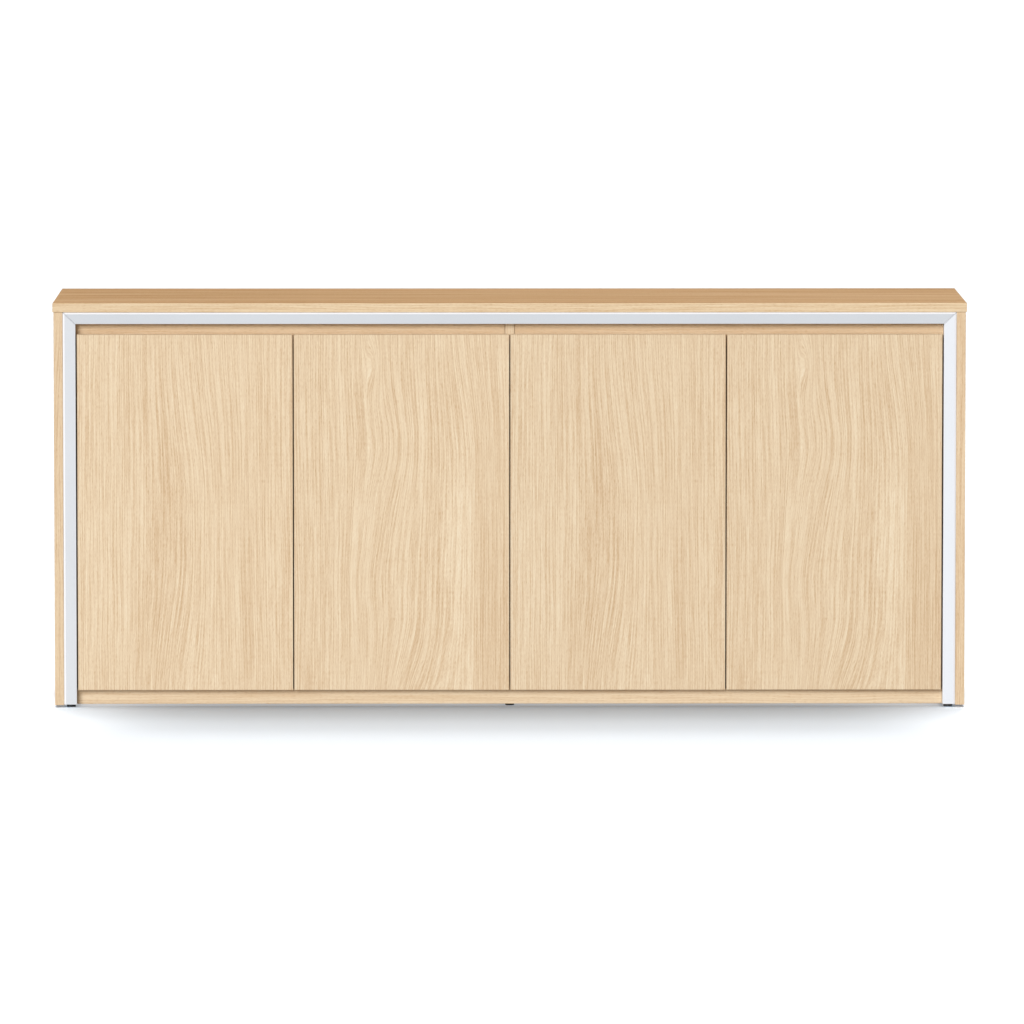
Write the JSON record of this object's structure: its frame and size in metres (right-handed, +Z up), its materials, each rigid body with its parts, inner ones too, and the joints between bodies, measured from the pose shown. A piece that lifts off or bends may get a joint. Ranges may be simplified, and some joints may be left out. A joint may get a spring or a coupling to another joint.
{
  "type": "office credenza",
  "caption": "Low office cupboard with flush wood-grain doors under a finger gap, a mitred white metal frame, wrapped by a top and end panels, on small levelling feet",
  "frame": {"origin": "floor level, middle of the footprint", "axes": "+X to the right seen from the front, +Y to the back, +Z up"},
  "size_m": [1.8, 0.45, 0.8],
  "materials": {
    "oak_board": "pale oak wood-grain board, satin",
    "white_frame": "white satin coat on metal profile",
    "hinge_steel": "nickel-plated steel",
    "foot_plastic": "black moulded plastic"
  },
  "bodies": {
    "carcass": {"top_panel": "oak_board", "left_end_panel": "oak_board", "right_end_panel": "oak_board", "left_gable": "oak_board", "right_gable": "oak_board", "bottom_panel": "oak_board", "kick_rail": "oak_board", "left_top_rail": "oak_board", "right_top_rail": "oak_board", "centre_partition": "oak_board", "back_panel": "oak_board", "left_rear_post": "oak_board", "right_rear_post": "oak_board", "left_shelf": "oak_board", "right_shelf": "oak_board", "left_shelf_pin_outer_front": "hinge_steel", "left_shelf_pin_outer_rear": "hinge_steel", "left_shelf_pin_inner_front": "hinge_steel", "left_shelf_pin_inner_rear": "hinge_steel", "right_shelf_pin_outer_front": "hinge_steel", "right_shelf_pin_outer_rear": "hinge_steel", "right_shelf_pin_inner_front": "hinge_steel", "right_shelf_pin_inner_rear": "hinge_steel", "frame_top_bar": "white_frame", "frame_left_leg": "white_frame", "frame_right_leg": "white_frame", "hinge_1_lower_arm": "hinge_steel", "hinge_1_upper_arm": "hinge_steel", "hinge_2_lower_arm": "hinge_steel", "hinge_2_upper_arm": "hinge_steel", "hinge_3_lower_arm": "hinge_steel", "hinge_3_upper_arm": "hinge_steel", "hinge_4_lower_arm": "hinge_steel", "hinge_4_upper_arm": "hinge_steel"},
    "door_1_links": {"hinge_1_lower_link": "hinge_steel", "hinge_1_upper_link": "hinge_steel"},
    "door_1_leaf": {"door_1": "oak_board", "hinge_1_lower_cup": "hinge_steel", "hinge_1_upper_cup": "hinge_steel"},
    "door_2_links": {"hinge_2_lower_link": "hinge_steel", "hinge_2_upper_link": "hinge_steel"},
    "door_2_leaf": {"door_2": "oak_board", "hinge_2_lower_cup": "hinge_steel", "hinge_2_upper_cup": "hinge_steel"},
    "door_3_links": {"hinge_3_lower_link": "hinge_steel", "hinge_3_upper_link": "hinge_steel"},
    "door_3_leaf": {"door_3": "oak_board", "hinge_3_lower_cup": "hinge_steel", "hinge_3_upper_cup": "hinge_steel"},
    "door_4_links": {"hinge_4_lower_link": "hinge_steel", "hinge_4_upper_link": "hinge_steel"},
    "door_4_leaf": {"door_4": "oak_board", "hinge_4_lower_cup": "hinge_steel", "hinge_4_upper_cup": "hinge_steel"},
    "foot_front_left": {"foot_front_left": "foot_plastic"},
    "foot_front_centre": {"foot_front_centre": "foot_plastic"},
    "foot_front_right": {"foot_front_right": "foot_plastic"},
    "foot_rear_left": {"foot_rear_left": "foot_plastic"},
    "foot_rear_centre": {"foot_rear_centre": "foot_plastic"},
    "foot_rear_right": {"foot_rear_right": "foot_plastic"}
  },
  "joints": [
    {"name": "door_1_link", "type": "hinge", "parent": "carcass", "child": "door_1_links", "pos_m": [-0.819, -0.212, 0.3865], "axis": [0, 0, 1], "range_deg": [0, 30]},
    {"name": "door_1_swing", "type": "hinge", "parent": "door_1_links", "child": "door_1_leaf", "pos_m": [-0.837, -0.2155, 0.3865], "axis": [0, 0, -1], "range_deg": [0, 120]},
    {"name": "door_2_link", "type": "hinge", "parent": "carcass", "child": "door_2_links", "pos_m": [-0.03425, -0.212, 0.3865], "axis": [0, 0, -1], "range_deg": [0, 30]},
    {"name": "door_2_swing", "type": "hinge", "parent": "door_2_links", "child": "door_2_leaf", "pos_m": [-0.01625, -0.2155, 0.3865], "axis": [0, 0, 1], "range_deg": [0, 120]},
    {"name": "door_3_link", "type": "hinge", "parent": "carcass", "child": "door_3_links", "pos_m": [0.03425, -0.212, 0.3865], "axis": [0, 0, 1], "range_deg": [0, 30]},
    {"name": "door_3_swing", "type": "hinge", "parent": "door_3_links", "child": "door_3_leaf", "pos_m": [0.01625, -0.2155, 0.3865], "axis": [0, 0, -1], "range_deg": [0, 120]},
    {"name": "door_4_link", "type": "hinge", "parent": "carcass", "child": "door_4_links", "pos_m": [0.819, -0.212, 0.3865], "axis": [0, 0, -1], "range_deg": [0, 30]},
    {"name": "door_4_swing", "type": "hinge", "parent": "door_4_links", "child": "door_4_leaf", "pos_m": [0.837, -0.2155, 0.3865], "axis": [0, 0, 1], "range_deg": [0, 120]},
    {"name": "foot_front_left_screw", "type": "slide", "parent": "carcass", "child": "foot_front_left", "axis": [0, 0, -1], "range_m": [0, 0.008]},
    {"name": "foot_front_centre_screw", "type": "slide", "parent": "carcass", "child": "foot_front_centre", "axis": [0, 0, -1], "range_m": [0, 0.008]},
    {"name": "foot_front_right_screw", "type": "slide", "parent": "carcass", "child": "foot_front_right", "axis": [0, 0, -1], "range_m": [0, 0.008]},
    {"name": "foot_rear_left_screw", "type": "slide", "parent": "carcass", "child": "foot_rear_left", "axis": [0, 0, -1], "range_m": [0, 0.008]},
    {"name": "foot_rear_centre_screw", "type": "slide", "parent": "carcass", "child": "foot_rear_centre", "axis": [0, 0, -1], "range_m": [0, 0.008]},
    {"name": "foot_rear_right_screw", "type": "slide", "parent": "carcass", "child": "foot_rear_right", "axis": [0, 0, -1], "range_m": [0, 0.008]}
  ],
  "couplings": [
    {"joint": "door_1_link", "follows": "door_1_swing", "ratio": 0.25},
    {"joint": "door_2_link", "follows": "door_2_swing", "ratio": 0.25},
    {"joint": "door_3_link", "follows": "door_3_swing", "ratio": 0.25},
    {"joint": "door_4_link", "follows": "door_4_swing", "ratio": 0.25}
  ]
}
